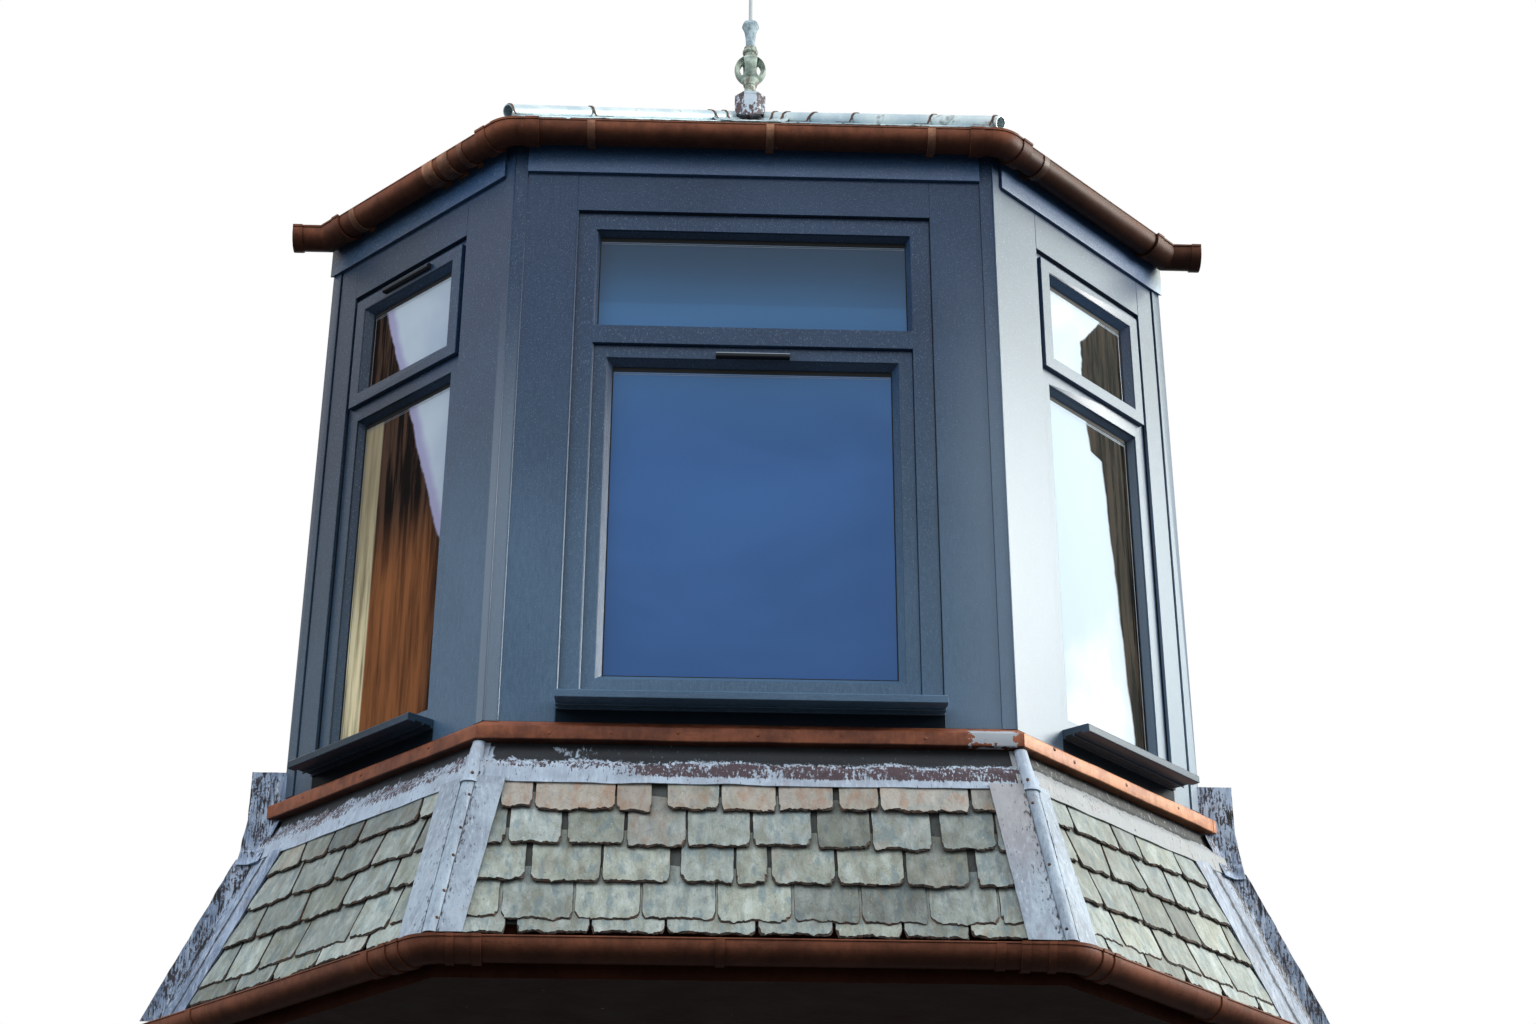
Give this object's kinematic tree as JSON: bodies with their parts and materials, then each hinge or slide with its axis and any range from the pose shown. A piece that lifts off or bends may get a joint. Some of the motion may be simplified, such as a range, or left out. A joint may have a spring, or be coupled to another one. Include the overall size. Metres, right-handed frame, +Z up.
{
  "type": "oriel bay window cut off at the house wall",
  "caption": "Half-octagon bay window with framed panes, a slated skirt and roof, mitred gutters and a finial, flat at the back where it meets the wall.",
  "frame": {"origin": "on the wall plane, on the centre line, at the back face of the floor platform", "axes": "+Y into the building, +X along the wall, +Z up"},
  "size_m": [3.7912, 0.985, 4.214],
  "materials": {
    "anthracite_foil": "satin woodgrain foil",
    "vent_plastic": "satin",
    "glass": "polished",
    "brown_paint": "weathered gloss paint",
    "lead": "weathered lead sheet",
    "zinc": "dull zinc sheet",
    "slate": "riven slate",
    "finial_paint": "weathered paint with rust",
    "timber": "sawn softwood",
    "white_lining": "satin paint"
  },
  "bodies": {
    "root": {"corner_post_covers": "anthracite_foil", "front_jamb_panels": "anthracite_foil", "side_jamb_panels": "anthracite_foil", "front_head_panel": "anthracite_foil", "side_head_panels": "anthracite_foil", "front_foot_panel": "anthracite_foil", "side_foot_panels": "anthracite_foil", "end_strips": "anthracite_foil", "wall_trims": "anthracite_foil", "front_window_frame": "anthracite_foil", "side_window_frames": "anthracite_foil", "front_sash": "anthracite_foil", "side_sashes": "anthracite_foil", "front_sill": "anthracite_foil", "side_sills": "anthracite_foil", "front_fascia": "anthracite_foil", "side_fascias": "anthracite_foil", "trickle_vents": "vent_plastic", "front_glass": "glass", "side_glass": "glass", "front_drip_moulding": "brown_paint", "side_drip_mouldings": "brown_paint", "lower_gutter_front": "brown_paint", "lower_gutter_sides": "brown_paint", "lower_gutter_angles": "brown_paint", "lower_gutter_straps": "brown_paint", "front_lower_fascia": "brown_paint", "side_lower_fascias": "brown_paint", "soffit_board": "brown_paint", "upper_gutter_front": "brown_paint", "upper_gutter_sides": "brown_paint", "upper_gutter_angles": "brown_paint", "upper_gutter_wall_angles": "brown_paint", "upper_gutter_straps": "brown_paint", "front_lead_apron": "lead", "side_lead_aprons": "lead", "lead_hips": "lead", "lead_abutments": "lead", "finial_block": "lead", "hip_rolls": "zinc", "roof_end_flashings": "zinc", "front_skirt": "slate", "side_skirts": "slate", "front_roof_slope": "slate", "side_roof_slopes": "slate", "finial": "finial_paint", "finial_crown": "finial_paint", "floor_platform": "timber", "front_spandrel": "timber", "side_spandrels": "timber", "corner_studs": "timber", "wall_studs": "timber", "front_head_beam": "timber", "side_head_beams": "timber", "ceiling_board": "white_lining", "window_boards": "white_lining"}
  },
  "joints": []
}
